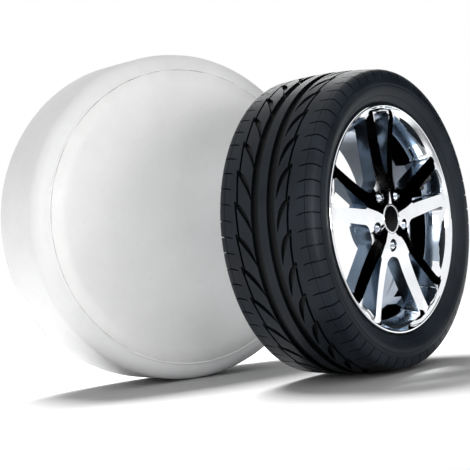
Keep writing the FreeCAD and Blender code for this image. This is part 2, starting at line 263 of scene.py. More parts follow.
class TyreSection:
    """The outer line of one half of a tyre, as (radius, distance along the axle), by arc length."""

    def __init__(self, wheel):
        crown = CROWN[wheel]
        edge = TREAD_EDGE[wheel]
        edge_radius = crown - CROWN_ARC + math.sqrt(CROWN_ARC**2 - edge**2)
        drop, shoulder_out = SHOULDER[wheel]
        shoulder = (crown - drop, shoulder_out)
        line = arc_points((crown, 0), (edge_radius, edge), CROWN_ARC, 30)
        line += arc_points((edge_radius, edge), shoulder, TREAD_CORNER, 8)[1:]
        line += arc_points(shoulder, WIDEST[wheel], UPPER_WALL, 16)[1:]
        line += arc_points(WIDEST[wheel], RIM_TOUCH, LOWER_WALL, 16)[1:]
        self.line = self.ease(line, 6)
        self.along = [0.0]
        for first, second in zip(self.line, self.line[1:]):
            self.along.append(self.along[-1] + (second - first).length)

    @staticmethod
    def ease(line, times):
        """Round off the corners where two arcs meet, by averaging each point with its neighbours."""
        for _ in range(times):
            inner = [(a + 2 * b + c) / 4 for a, b, c in zip(line, line[1:], line[2:])]
            line = [line[0]] + inner + [line[-1]]
        return line

    def at(self, across, height=0.0):
        """The point that far across the tread from its middle, and that far above its surface."""
        distance = min(abs(across), self.along[-1])
        number = next(n for n, length in enumerate(self.along[1:]) if distance <= length + 1e-9)
        low, high = self.along[number], self.along[number + 1]
        start, end = self.line[number], self.line[number + 1]
        point = start.lerp(end, (distance - low) / (high - low))
        before = self.line[max(number - 1, 0)]
        after = self.line[min(number + 2, len(self.line) - 1)]
        tangent = (end - start).normalized() + (after - before).normalized()
        outward = Vector((tangent.y, -tangent.x)).normalized()
        point = point + outward * height
        return Vector((point.x, math.copysign(point.y, across)))


SECTIONS = {wheel: TyreSection(wheel) for wheel in PLACE}
print("half section lengths:", {wheel: round(s.along[-1], 4) for wheel, s in SECTIONS.items()})

# %% [markdown]
# ## One pitch of tread
# A tread is one short pattern repeated round the tyre. It is modelled flat, as a slab with its
# length along X and its width along Y, and the grooves are cut out of it with prisms. The pattern
# points one way, like a row of arrows: long curved grooves start at the zigzag groove on each side
# and taper off towards the middle, and short sipes, slightly bowed, run over the shoulders.
# Cutting prisms from a slab gives true groove walls, and only one pitch has to be cut.

# %% Tread sizes
PITCH = 0.0684
SLICES = 6
GROOVE_DEPTH = 0.0075
SLAB_EDGE = 0.142
SLAB_DEPTH = 0.012
CUTTER_ABOVE = 0.003
WIDE_GROOVE = (0.0105, 0.0295)
ZIGZAG_AT = {1: 0.0615, -1: 0.0675}
ZIGZAG_SWING = 0.0035
ZIGZAG_WIDTH = 0.0052
SIPE_START = 0.081
SIPE_END = 0.1365
SIPE_DEPTH = 0.0055
LONG_DEPTH = 0.0068
LINE_AT = 0.100
LINE_DEPTH = 0.0022
EDGE_DEPTH = 0.0009


def prism(bm, outline, depth, flare=0.0006):
    """A closed cutter below an outline, wider at the top than at its floor by the flare."""
    middle = sum((Vector(p) for p in outline), Vector((0, 0))) / len(outline)
    top = [bm.verts.new((x, y, CUTTER_ABOVE)) for x, y in outline]
    face = bm.faces.new(top)
    floor = bmesh.ops.extrude_face_region(bm, geom=[face])["geom"]
    for vert in [item for item in floor if isinstance(item, bmesh.types.BMVert)]:
        inward = (middle - vert.co.xy).normalized() * flare
        vert.co += Vector((inward.x, inward.y, -CUTTER_ABOVE - depth))


def ribbon(points, widths):
    """The outline of a strip along a line of points, with a width at each of them."""
    left = []
    right = []
    for number, (point, width) in enumerate(zip(points, widths)):
        before = Vector(points[max(number - 1, 0)])
        after = Vector(points[min(number + 1, len(points) - 1)])
        tangent = (after - before).normalized()
        side = Vector((-tangent.y, tangent.x)) * width / 2
        left.append(Vector(point) + side)
        right.append(Vector(point) - side)
    return left + right[::-1]


def long_groove(side):
    """The curved groove from the zigzag groove in towards the middle, fat at first and then fine."""
    start = Vector((0.003, ZIGZAG_AT[side] - 0.001))
    bend = Vector((0.026, 0.040))
    tip = Vector((0.069, 0.0340))
    if side < 0:
        tip = Vector((0.067, 0.0285))
    line = []
    for step in range(10):
        share = step / 9
        line.append(start * (1 - share) ** 2 + bend * 2 * share * (1 - share) + tip * share**2)
    widths = [0.0070, 0.0096, 0.0116, 0.0122, 0.0116, 0.0102, 0.0082, 0.0058, 0.0034, 0.0010]
    return [Vector((p.x, side * p.y)) for p in ribbon(line, widths)]


def sipe(side, start):
    """A narrow slot that rises over the shoulder in a slight bow."""
    line = []
    for step in range(8):
        share = step / 7
        across = SIPE_START + (SIPE_END - SIPE_START) * share
        lift = 0.0035 * math.sin(math.pi * share**0.8) + 0.0037 * share
        line.append((start - lift, side * across))
    return ribbon(line, [0.0012] + [0.0031] * 6 + [0.0022])


def zigzag(side):
    """One pitch of the narrow groove: a leaning strip with a step at each end."""
    inner = ZIGZAG_AT[side] - ZIGZAG_SWING
    outer = ZIGZAG_AT[side] + ZIGZAG_SWING
    line = [(-0.004, outer), (PITCH * 0.45, inner + 0.003), (PITCH + 0.012, inner)]
    return [Vector((p.x, side * p.y)) for p in ribbon(line, [ZIGZAG_WIDTH] * 3)]


def straight(side, low, high):
    """A groove that runs straight through the pitch."""
    start, end = -PITCH, 2 * PITCH
    return [(start, side * low), (end, side * low), (end, side * high), (start, side * high)]


# %% Cut the pitch
def cutter(name, outlines, depth, flare):
    bm = bmesh.new()
    for outline in outlines:
        prism(bm, outline, depth, flare)
    bmesh.ops.recalc_face_normals(bm, faces=bm.faces)
    mesh = bpy.data.meshes.new(name)
    bm.to_mesh(mesh)
    bm.free()
    tool = bpy.data.objects.new(name, mesh)
    bpy.context.scene.collection.objects.link(tool)
    return tool


def shifted(outline, distance):
    return [Vector((x + distance, y)) for x, y in outline]


def cut_with(block, tools):
    """The block's mesh after every tool is cut from it; the tools are then thrown away."""
    for tool in tools:
        modifier = block.modifiers.new(tool.name, "BOOLEAN")
        modifier.operation = "DIFFERENCE"
        modifier.solver = "EXACT"
        modifier.object = tool
    depsgraph = bpy.context.evaluated_depsgraph_get()
    mesh = bpy.data.meshes.new_from_object(block.evaluated_get(depsgraph))
    for leftover in [block] + tools:
        old = leftover.data
        bpy.data.objects.remove(leftover)
        bpy.data.meshes.remove(old)
    return mesh


def tread_pitch():
    """The flat slab of one pitch, with its grooves, sliced finely enough to bend round a tyre."""
    bm = bmesh.new()
    bmesh.ops.create_cube(bm, size=1)
    bmesh.ops.scale(bm, vec=(PITCH, 2 * SLAB_EDGE, SLAB_DEPTH), verts=bm.verts)
    bmesh.ops.translate(bm, vec=(PITCH / 2, 0, -SLAB_DEPTH / 2), verts=bm.verts)
    mesh = bpy.data.meshes.new("slab")
    bm.to_mesh(mesh)
    bm.free()
    slab = bpy.data.objects.new("slab", mesh)
    bpy.context.scene.collection.objects.link(slab)
    repeats = (-PITCH, 0, PITCH)
    tools = []
    for side in (1, -1):
        name = "outer" if side > 0 else "inner"
        tools.append(cutter(name + "_wide", [straight(side, *WIDE_GROOVE)], GROOVE_DEPTH, 0.0008))
        line = straight(side, LINE_AT - 0.0005, LINE_AT + 0.0005)
        tools.append(cutter(name + "_line", [line], LINE_DEPTH, 0.0002))
        edge = straight(side, SIPE_END - 0.0006, SIPE_END + 0.0006)
        tools.append(cutter(name + "_edge", [edge], EDGE_DEPTH, 0.0002))
        for distance in repeats:
            tools.append(cutter(name + "_zigzag", [shifted(zigzag(side), distance)], GROOVE_DEPTH, 0.0006))
            tools.append(cutter(name + "_long", [shifted(long_groove(side), distance)], LONG_DEPTH, 0.0006))
        sipes = [shifted(sipe(side, 0.004), n * PITCH / 2) for n in range(-2, 4)]
        tools.append(cutter(name + "_sipes", sipes, SIPE_DEPTH, 0.0003))
    mesh = cut_with(slab, tools)
    bm = bmesh.new()
    bm.from_mesh(mesh)
    bpy.data.meshes.remove(mesh)
    slice_up(bm, "x", [PITCH * n / SLICES for n in range(1, SLICES)])
    crown_lines = [-0.092 + 0.0092 * n for n in range(21)]
    shoulder_lines = [side * (0.096 + 0.004 * n) for n in range(11) for side in (1, -1)]
    slice_up(bm, "y", crown_lines + shoulder_lines)
    clear_ends(bm)
    bmesh.ops.dissolve_degenerate(bm, edges=bm.edges, dist=1e-6)
    print("one pitch has", len(bm.faces), "faces")
    return bm


def slice_up(bm, axis, places):
    for place in places:
        point = (place, 0, 0) if axis == "x" else (0, place, 0)
        normal = (1, 0, 0) if axis == "x" else (0, 1, 0)
        geometry = bm.verts[:] + bm.edges[:] + bm.faces[:]
        bmesh.ops.bisect_plane(bm, geom=geometry, plane_co=point, plane_no=normal, dist=1e-7)


def clear_ends(bm):
    """Take off the slab's underside and its four sides, which the tyre doesn't have."""
    bm.faces.ensure_lookup_table()
    doomed = []
    for face in bm.faces:
        middle = face.calc_center_median()
        at_end = min(abs(middle.x), abs(middle.x - PITCH)) < 1e-5 and abs(face.normal.x) > 0.9
        at_side = abs(abs(middle.y) - SLAB_EDGE) < 1e-5
        if middle.z < 0.0001 - SLAB_DEPTH or at_end or at_side:
            doomed.append(face)
    bmesh.ops.delete(bm, geom=doomed, context="FACES")


PITCH_MESH = bpy.data.meshes.new("tread_pitch")
pitch_bm = tread_pitch()
pitch_bm.to_mesh(PITCH_MESH)
pitch_bm.free()

# %% [markdown]
# ## Wrapping the tread
# The flat pitch is copied round the tyre and rolled on to it. Along X it turns about the axle.
# Across Y it follows the tyre's section, and a groove's depth is measured square to the surface
# there. At the shoulder the tread's length shrinks with the radius, as it does in a real mould.

# %% Roll the tread on
PITCHES = {"display": 30, "covered": 34}


def roll_tread(wheel, bm):
    """Add the whole tread of a tyre to a mesh, in the wheel's own frame."""
    section = SECTIONS[wheel]
    count = PITCHES[wheel]
    sheet = bmesh.new()
    sheet.from_mesh(PITCH_MESH)
    # The depth layer records how deep each point lies below the tread, for the painted shade in the
    # grooves.
    depth = sheet.verts.layers.float.new("depth")
    around = []
    for vert in sheet.verts:
        vert[depth] = min(1, -vert.co.z / GROOVE_DEPTH)
        point = section.at(vert.co.y, vert.co.z)
        around.append((vert.co.x / PITCH, point))
    for vert, (share, point) in zip(sheet.verts, around):
        angle = share * math.tau / count
        vert.co = (point.x * math.cos(angle), point.x * math.sin(angle), point.y)
    one = bpy.data.meshes.new("rolled_pitch")
    sheet.to_mesh(one)
    sheet.free()
    for number in range(count):
        start = len(bm.verts)
        bm.from_mesh(one)
        bm.verts.ensure_lookup_table()
        turn = Matrix.Rotation(number * math.tau / count, 3, "Z")
        bmesh.ops.rotate(bm, cent=(0, 0, 0), matrix=turn, verts=bm.verts[start:])
    bpy.data.meshes.remove(one)
    bmesh.ops.remove_doubles(bm, verts=bm.verts, dist=2e-5)


# %% [markdown]
# ## Finishing a mesh
# Every piece here is built round its own axle and then carried to its place. One helper does that:
# it turns the faces outwards, smooths the ones that meet gently, and leaves the object at the
# origin, as the frame's own objects are.

# %% Finish a mesh
def finish_piece(bm, name, place, material, body, smooth=35, outward=True):
    if outward:
        bmesh.ops.recalc_face_normals(bm, faces=bm.faces)
    bmesh.ops.transform(bm, matrix=place, verts=bm.verts)
    limit = math.radians(smooth)
    for face in bm.faces:
        face.smooth = True
    for edge in bm.edges:
        edge.smooth = not (edge.is_manifold and edge.calc_face_angle(0) > limit)
    mesh = bpy.data.meshes.new(name)
    bm.to_mesh(mesh)
    bm.free()
    piece = bpy.data.objects.new(name, mesh)
    bpy.context.scene.collection.objects.link(piece)
    mesh.materials.append(material)
    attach(piece, body)
    triangles = sum(len(polygon.vertices) - 2 for polygon in mesh.polygons)
    print(name, "has", triangles, "triangles")
    return piece


def spin_profile(bm, line, steps, closed=False):
    """Turn a line of (radius, height) points about Z into a surface, and return its vertices."""
    start = len(bm.verts)
    verts = [bm.verts.new((radius, 0, height)) for radius, height in line]
    edges = [bm.edges.new(pair) for pair in zip(verts, verts[1:])]
    if closed:
        edges.append(bm.edges.new((verts[-1], verts[0])))
    bmesh.ops.spin(bm, geom=verts + edges, cent=(0, 0, 0), axis=(0, 0, 1), angle=math.tau, steps=steps,
                   use_merge=True)
    bm.verts.ensure_lookup_table()
    made = bm.verts[start:]
    poles = [vert for vert in made if vert.co.xy.length < 1e-7]
    bmesh.ops.remove_doubles(bm, verts=poles, dist=1e-6)
    bm.verts.ensure_lookup_table()
    return bm.verts[start:]


# %% [markdown]
# ## The tyres
# Below the tread the sidewall is a plain turned surface, with the thin raised rings that a mould
# leaves: one at the top of the sidewall and two by the bead, where the tyre sits in the rim. Inside
# there's the liner, which closes the tyre so that it can be seen from any side.

# %% Build the tyres
LINER = 0.011
LINER_LEAST = (0.2295, 0.113)
BEAD_LINE = ((248.6, 106.2), (246.6, 103.9), (240, 101.7), (231, 100.6), (228.6, 96), (228.2, 85))
SIDEWALL_RINGS = ((0.146, 0.0009, 0.0016), (0.173, 0.0006, 0.0011), (0.2035, 0.0010, 0.0020))


def sidewall_line(wheel, side):
    """From the tread's edge to the rim, with its raised rings, as (radius, height)."""
    section = SECTIONS[wheel]
    total = section.along[-1]
    stretch = (total - SLAB_EDGE) / (SECTIONS["display"].along[-1] - SLAB_EDGE)
    places = [(SLAB_EDGE + (total - SLAB_EDGE) * n / 40, 0.0) for n in range(41)]
    for middle, height, half in SIDEWALL_RINGS:
        middle = SLAB_EDGE + (middle - SLAB_EDGE) * stretch
        places = [place for place in places if abs(place[0] - middle) > half * 1.6]
        places += [(middle - half, 0.0), (middle - half * 0.5, height)]
        places += [(middle + half * 0.5, height), (middle + half, 0.0)]
    line = [section.at(across, height) for across, height in sorted(places)]
    return [(point.x, side * point.y) for point in line]


def bead_line(side):
    """From where the sidewall meets the rim flange, in over the bead to its toe."""
    return [(radius * MM, side * height * MM) for radius, height in BEAD_LINE]


def liner_line(wheel, side):
    section = SECTIONS[wheel]
    total = section.along[-1]
    line = []
    for n in range(26):
        point = section.at(total * 0.98 * (1 - n / 25), -LINER)
        line.append((max(point.x, LINER_LEAST[0]), side * min(point.y, LINER_LEAST[1])))
    return line


def add_tyre(wheel):
    bm = bmesh.new()
    roll_tread(wheel, bm)
    steps = PITCHES[wheel] * SLICES
    for side in (1, -1):
        line = sidewall_line(wheel, side) + bead_line(side) + liner_line(wheel, side)
        spin_profile(bm, line, steps)
    bmesh.ops.remove_doubles(bm, verts=bm.verts, dist=1e-4)
    name = wheel + "_tyre_rubber"
    piece = finish_piece(bm, name, PLACE[wheel], RUBBER, wheel + "_wheel", smooth=32)
    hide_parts(wheel + "_tyre")


for wheel in PLACE:
    add_tyre(wheel)

# %% [markdown]
# ## The cover
# The cover is sewn from coated vinyl: a round front, a strip that wraps the tread, and a skirt that
# is gathered behind by elastic. A thin welt is sewn into the seam round the front. The front is drawn
# tight by the strip, so it's almost flat, with soft puckers beside the seam where the strip's
# fullness is eased in, and shallow dents where it spans the wheel. A turned surface gives the shape,
# and small moves along its normals give the puckers.

# %% Cover vinyl
def vinyl(name, shade, grain=0.00018):
    """Coated vinyl: an off-white with cloudy patches, a fine pressed grain and a soft shine."""
    finish = Finish(name, IOR=1.48)
    finish.shader.inputs["Coat Weight"].default_value = 0.12
    finish.shader.inputs["Coat Roughness"].default_value = 0.35
    clouds = finish.noise(5, detail=6, roughness=0.62)
    specks = finish.noise(60, detail=3, roughness=0.6)
    warm = tuple(value * 0.93 for value in shade)
    cloudy = finish.mix(finish.spread(clouds, 0, 1, 0.36, 0.66), shade, warm)
    dust = tuple(value * 0.90 for value in shade)
    finish.paint("Base Color", finish.mix(finish.spread(specks, 0, 0.55, 0.55, 0.75), cloudy, dust))
    finish.paint("Roughness", finish.spread(clouds, 0.38, 0.52, 0.3, 0.7))
    pebbles = finish.add("TexVoronoi", Scale=420.0, Vector=finish.where)
    pebbles.feature = "SMOOTH_F1"
    first = finish.bump(pebbles.outputs["Distance"], 0.35, grain)
    finish.bump(finish.noise(26, detail=3), 0.25, 0.0012, under=first)
    return finish.material


# The front and band are one vinyl. The band's colour is set a shade darker than the front's, as painted
# shade on the band's sides, which face away from the light.
FACE_VINYL = vinyl("cover_face_vinyl", (0.73, 0.73, 0.725))
BAND_VINYL = vinyl("cover_band_vinyl", (0.70, 0.70, 0.705))
WELT_VINYL = vinyl("cover_welt_vinyl", (0.74, 0.74, 0.735), grain=0.00008)

# %% Cover sizes
FRONT = 0.1266
PANEL_FLAT = 0.305
PANEL_CORNER = 0.062
BAND_CORNER = 0.040
SKIRT_CORNER = 0.110
SEAM_RADIUS = 0.3412
SEAM_AT = 0.1161
WELT_WIRE = 0.0025
PANEL_EDGE = (0.3386, 0.1166)
BAND_EDGE = (0.3432, 0.1166)
SKIRT_TOP = (0.3434, -0.1162)
SKIRT_FOOT = (0.2895, -0.1310)
BAND_RADIUS = COVER_CROWN - 0.0003
CROWN_HALF = 0.084
HEM_RADIUS = 0.284
HEM_AT = -0.131
HEM_TUBE = 0.0048
SEAM_STEPS = 240
GATHER_STEPS = 600
VINYL = 0.0012
PUCKERS = 64


def pucker(angle, distance, reach, size, seed):
    """How far the vinyl lifts beside a seam: uneven little waves that die away from it."""
    if distance > reach:
        return 0.0
    around = Vector((math.cos(angle), math.sin(angle), seed))
    fade = (1 - distance / reach) ** 2
    waves = noise.noise(around * PUCKERS / math.tau) + 0.5 * noise.noise(around * PUCKERS / 3)
    return size * fade * waves


def dents(x, y, seed, size):
    """Broad shallow unevenness in a stretched sheet."""
    broad = noise.noise(Vector((x * 5, y * 5, seed)))
    return size * (broad + 0.5 * noise.noise(Vector((x * 11, y * 11, seed))))


def ease_out(bm, shift):
    """Move each vertex along its normal by what shift says for it."""
    bm.normal_update()
    moves = [(vert, vert.normal * shift(vert.co)) for vert in bm.verts]
    for vert, move in moves:
        vert.co += move


def give_thickness(bm, thickness):
    """Turn a sheet into a thin closed wall, growing inwards from its outer face."""
    bmesh.ops.recalc_face_normals(bm, faces=bm.faces)
    bmesh.ops.solidify(bm, geom=bm.faces[:], thickness=thickness)


# %% Front panel
def front_panel():
    bm = bmesh.new()
    line = [(0, FRONT)]
    line += [(PANEL_FLAT * n / 26, FRONT) for n in range(1, 26)]
    line += [tuple(p) for p in arc_points(PANEL_EDGE, (PANEL_FLAT, FRONT), PANEL_CORNER, 9)[::-1]]
    spin_profile(bm, line, SEAM_STEPS)
    bmesh.ops.recalc_face_normals(bm, faces=bm.faces)

    def shift(co):
        radius = co.xy.length
        angle = math.atan2(co.y, co.x)
        lift = pucker(angle, PANEL_EDGE[0] - radius, 0.060, 0.0022, 3.0)
        middle = 1 - (radius / PANEL_EDGE[0]) ** 2
        return lift + dents(co.x, co.y, 7.0, 0.0016) * middle - 0.0022 * middle

    ease_out(bm, shift)
    give_thickness(bm, VINYL)
    piece = finish_piece(bm, "cover_front", PLACE["covered"], FACE_VINYL, "cover", outward=False)
    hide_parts("cover_front_panel")


# %% Side band
def side_band():
    bm = bmesh.new()
    line = [(BAND_RADIUS, CROWN_HALF * (n / 7 - 1)) for n in range(15)]
    line += [tuple(p) for p in arc_points((BAND_RADIUS, CROWN_HALF), BAND_EDGE, BAND_CORNER, 10)[1:]]
    spin_profile(bm, line, SEAM_STEPS)
    bmesh.ops.recalc_face_normals(bm, faces=bm.faces)

    def shift(co):
        radius = co.xy.length
        angle = math.atan2(co.y, co.x)
        from_seam = math.hypot(radius - BAND_EDGE[0], co.z - BAND_EDGE[1])
        lift = pucker(angle, from_seam, 0.055, 0.0024, 11.0)
        lift += pucker(angle, co.z + CROWN_HALF, 0.05, 0.0016, 17.0)
        on_floor = max(0.0, math.cos(angle + math.pi / 2)) ** 8
        return (lift + 0.0012 * noise.noise(co * 9)) * (1 - on_floor) - 0.0005

    ease_out(bm, shift)
    give_thickness(bm, VINYL)
    piece = finish_piece(bm, "cover_band", PLACE["covered"], BAND_VINYL, "cover", outward=False)
    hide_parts("cover_side_band")


# %% [markdown]
# ## The skirt, the hem and the elastic
# Behind the tyre the strip has far more length than the hem's circle needs. The elastic in the hem
# gathers the spare length into folds, deep at the hem and gone at the shoulder. The folds are waves
# of uneven width round the hem, and the hem is a casing that follows them round the elastic.

# %% Gathered skirt
GATHERS = 46


def gather(angle):
    """The height of the folds at that angle, from -1 to 1, of uneven width."""
    drift = noise.noise(Vector((math.cos(angle) * 2.2, math.sin(angle) * 2.2, 5.0)))
    phase = GATHERS * angle + 2.6 * drift
    size = 0.75 + 0.25 * noise.noise(Vector((math.cos(angle) * 6, math.sin(angle) * 6, 9.0)))
    return size * (math.sin(phase) + 0.25 * math.sin(2 * phase + drift))


def rear_skirt():
    bm = bmesh.new()
    line = [tuple(p) for p in arc_points(SKIRT_TOP, (BAND_RADIUS, -CROWN_HALF), BAND_CORNER, 8)]
    rear = [tuple(p) for p in arc_points(SKIRT_FOOT, SKIRT_TOP, SKIRT_CORNER, 12)]
    spin_profile(bm, rear + line[1:], GATHER_STEPS)
    bmesh.ops.recalc_face_normals(bm, faces=bm.faces)

    def shift(co):
        radius = co.xy.length
        share = max(0.0, min(1.0, (0.352 - radius) / 0.062))
        return 0.0036 * share**1.3 * gather(math.atan2(co.y, co.x)) - 0.0005 * (1 - share)

    ease_out(bm, shift)
    give_thickness(bm, VINYL)
    piece = finish_piece(bm, "cover_skirt", PLACE["covered"], BAND_VINYL, "cover", outward=False)
    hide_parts("cover_rear_skirt")


def hem_casing():
    """The folded-over hem: a tube of vinyl with creases, closed round the elastic."""
    bm = bmesh.new()
    ring = []
    for n in range(14):
        turn = math.tau * n / 14
        ring.append((HEM_RADIUS + HEM_TUBE * math.cos(turn), HEM_AT + HEM_TUBE * math.sin(turn)))
    spin_profile(bm, ring, GATHER_STEPS, closed=True)
    for vert in bm.verts:
        angle = math.atan2(vert.co.y, vert.co.x)
        vert.co.z += 0.0012 * gather(angle)
        across = vert.co.xy.length - HEM_RADIUS
        vert.co.xy += vert.co.xy.normalized() * across * 0.16 * gather(angle * 2 + 1)
    piece = finish_piece(bm, "cover_hem", PLACE["covered"], BAND_VINYL, "cover")
    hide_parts("cover_hem_casing")


# %% Welt
def welt():
    """The piping in the seam, with the slight waviness of a sewn edge."""
    bm = bmesh.new()
    ring = []
    for n in range(12):
        turn = math.tau * n / 12
        ring.append((SEAM_RADIUS + WELT_WIRE * math.cos(turn), SEAM_AT + WELT_WIRE * math.sin(turn)))
    spin_profile(bm, ring, SEAM_STEPS, closed=True)
    for vert in bm.verts:
        angle = math.atan2(vert.co.y, vert.co.x)
        vert.co.z += pucker(angle, 0, 1, 0.0006, 3.0)
    piece = finish_piece(bm, "cover_piping", PLACE["covered"], WELT_VINYL, "cover")
    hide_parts("cover_welt")


front_panel()
side_band()
rear_skirt()
hem_casing()
welt()

# %% [markdown]
# ## Chrome
# The alloy wheel is chromed all over. Polished chrome is nearly a mirror, so what makes it look real
# is small: a faint waviness from polishing, and a thin haze where it has been wiped. The walls of
# the pockets and the barrel are rougher castings, plated too, and coloured a darker blue-grey:
# painted shade and a painted blue-grey reflection, for surfaces set back from the face.

# %% Chrome finishes
def chrome(name, colour, roughness, waviness):
    finish = Finish(name, Metallic=1.0)
    haze = finish.noise(14, detail=6, roughness=0.65)
    dull = tuple(value * 0.9 for value in colour)
    finish.paint("Base Color", finish.mix(finish.spread(haze, 0, 1, 0.4, 0.7), colour, dull))
    finish.paint("Roughness", finish.spread(haze, roughness, roughness + 0.07, 0.4, 0.75))
    finish.bump(finish.noise(22, detail=2), waviness, 0.0015)
    return finish.material


FACE_CHROME = chrome("wheel_face_chrome", (0.90, 0.92, 0.95), 0.035, 0.10)
SHADED_POCKET_CHROME = chrome("wheel_pocket_shade_chrome", (0.36, 0.43, 0.51), 0.16, 0.35)
SHADED_BARREL_CHROME = chrome("wheel_barrel_shade_chrome", (0.46, 0.52, 0.60), 0.22, 0.25)

# %% [markdown]
# ## The alloy wheel
# The casting is one piece: a barrel that holds the tyre, and a dished face with five pairs of
# spokes. The whole section is turned first, as a solid. Then the windows between the pairs, the
# slots inside them and the wells of the lug bolts are cut from it with tapered blocks, which leaves
# sloping walls like those of a casting. Last, each spoke's top is tilted away from its pair's
# middle, so that neighbours catch the light differently.

# %% Wheel section
FACE_LINE = ((32.25, 105), (60, 105), (74, 103.8), (96, 100.8), (120, 99.2), (150, 99.0), (180, 99.8),
             (205, 101.0), (220, 102.2), (232, 103.6), (236, 105.2), (238.6, 108.6), (240.4, 111.6),
             (242, 112.4), (244.5, 112.3), (245.9, 111.0), (245.9, 105.5))
WELL_LINE = ((230.5, 101), (227, 82), (224, 71), (205, 50), (205, 10), (224, -10), (224, -76),
             (227, -82), (230, -101), (244, -104), (245.9, -106), (245.9, -111), (244, -112), (238, -112),
             (230, -109), (218, -101), (218, -12), (199, 8), (199, 52), (212, 66))
BACK_LINE = ((204, 72), (150, 70), (95, 68), (82, 64), (75, 56), (75, 45), (36.55, 45), (36.55, 84),
             (28, 88), (28, 102), (32.25, 102))
BOLT_CIRCLE = 0.05715


def wheel_blank():
    bm = bmesh.new()
    line = [(r * MM, h * MM) for r, h in FACE_LINE + WELL_LINE + BACK_LINE]
    spin_profile(bm, line, 180, closed=True)
    bmesh.ops.recalc_face_normals(bm, faces=bm.faces)
    mesh = bpy.data.meshes.new("wheel_blank")
    bm.to_mesh(mesh)
    bm.free()
    blank = bpy.data.objects.new("wheel_blank", mesh)
    bpy.context.scene.collection.objects.link(blank)
    for material in (FACE_CHROME, SHADED_POCKET_CHROME, SHADED_BARREL_CHROME):
        mesh.materials.append(material)
    return blank


# %% Tapered cutters
def arc_at(radius, start, end, steps):
    """Points at that radius from one angle to another, in degrees from straight up."""
    line = []
    for n in range(steps + 1):
        turn = math.radians(90 + start + (end - start) * n / steps)
        line.append(Vector((radius * math.cos(turn), radius * math.sin(turn))))
    return line


def rounded(outline, size, steps=4):
    """The outline with each sharp corner replaced by a small curve."""
    result = []
    count = len(outline)
    for n, corner in enumerate(outline):
        before = outline[n - 1] - corner
        after = outline[(n + 1) % count] - corner
        if before.angle(after) > math.radians(165):
            result.append(corner)
            continue
        reach = min(size, before.length * 0.45, after.length * 0.45)
        start = corner + before.normalized() * reach
        end = corner + after.normalized() * reach
        for step in range(steps + 1):
            share = step / steps
            result.append(start * (1 - share) ** 2 + corner * 2 * share * (1 - share) + end * share**2)
    return result


def window_outline(reach):
    edge = arc_at(reach, 21.0, -21.0, 8)
    root = [Vector((0.0195, 0.087)), Vector((0.0, 0.0815)), Vector((-0.0195, 0.087))]
    return rounded(edge + root, 0.010)


def slot_outline(reach):
    edge = arc_at(reach, 7.6, -7.6, 4)
    root = [Vector((0.0045, 0.100)), Vector((0.0, 0.096)), Vector((-0.0045, 0.100))]
    return rounded(edge + root, 0.006)


CUT_LEVELS = ((0.030, 0.2165, -0.0030), (0.066, 0.2165, -0.0012), (0.101, 0.2272, 0.0012),
              (0.1105, 0.2375, 0.0018), (0.125, 0.2385, 0.0018))


def tapered_block(name, outline_at, taper, turns):
    """A cutter that widens towards the face, and most of all towards the wheel's lip."""
    bm = bmesh.new()
    rings = []
    for height, reach, grow in CUT_LEVELS:
        outline = outline_at(reach)
        middle = sum(outline, Vector((0, 0))) / len(outline)
        ring = []
        for n, point in enumerate(outline):
            along = (outline[(n + 1) % len(outline)] - outline[n - 1]).normalized()
            out = Vector((along.y, -along.x))
            if out.dot(point - middle) < 0:
                out = -out
            ring.append(bm.verts.new((*(point + out * grow * taper), height)))
        rings.append(ring)
    loops = []
    for ring in rings:
        loops.append([bm.edges.new(pair) for pair in zip(ring, ring[1:] + ring[:1])])
    for lower, upper in zip(loops, loops[1:]):
        bmesh.ops.bridge_loops(bm, edges=lower + upper)
    bm.faces.new(rings[0])
    bm.faces.new(rings[-1])
    return ring_of(bm, name, turns)


def ring_of(bm, name, turns):
    """One cutter copied to each of those turns round the axle."""
    bmesh.ops.recalc_face_normals(bm, faces=bm.faces)
    one = bpy.data.meshes.new(name + "_one")
    bm.to_mesh(one)
    bm.free()
    ring = bmesh.new()
    for turn in turns:
        start = len(ring.verts)
        ring.from_mesh(one)
        ring.verts.ensure_lookup_table()
        matrix = Matrix.Rotation(math.radians(turn), 3, "Z")
        bmesh.ops.rotate(ring, cent=(0, 0, 0), matrix=matrix, verts=ring.verts[start:])
    mesh = bpy.data.meshes.new(name)
    ring.to_mesh(mesh)
    ring.free()
    bpy.data.meshes.remove(one)
    # The cut walls take the darker pocket chrome: painted shade on the walls of the cuts.
    mesh.materials.append(SHADED_POCKET_CHROME)
    tool = bpy.data.objects.new(name, mesh)
    bpy.context.scene.collection.objects.link(tool)
    return tool


def lug_cutter(turns):
    """Bolt wells, their cone seats and the holes through them, on the bolt circle."""
    bm = bmesh.new()
    line = [(0, 0.040), (0.007, 0.040), (0.007, 0.0615), (0.0132, 0.069), (0.0138, 0.110), (0, 0.110)]
    spin_profile(bm, line, 32)
    bmesh.ops.translate(bm, vec=(0, -BOLT_CIRCLE, 0), verts=bm.verts)
    return ring_of(bm, "lug_wells", turns)


# %% Tilt the spokes
PAIRS = [90 + 72 * n for n in range(5)]
TILT = 0.20
SPOKE_FROM_PAIR = math.radians(14.5)


def ramp(value, start, end):
    share = max(0.0, min(1.0, (value - start) / (end - start)))
    return share * share * (3 - 2 * share)


def tilted(co):
    """How far a point of the wheel's face moves along the axle to tilt its spoke's top."""
    radius = co.xy.length
    turn = math.degrees(math.atan2(co.y, co.x))
    offset = min(((turn - pair + 180) % 360 - 180 for pair in PAIRS), key=abs)
    across = abs(radius * math.sin(math.radians(offset)))
    middle = radius * math.sin(SPOKE_FROM_PAIR)
    amount = ramp(radius, 0.0335, 0.055) * (1 - ramp(radius, 0.226, 0.237)) * ramp(co.z, 0.082, 0.094)
    return -TILT * (across - middle) * amount


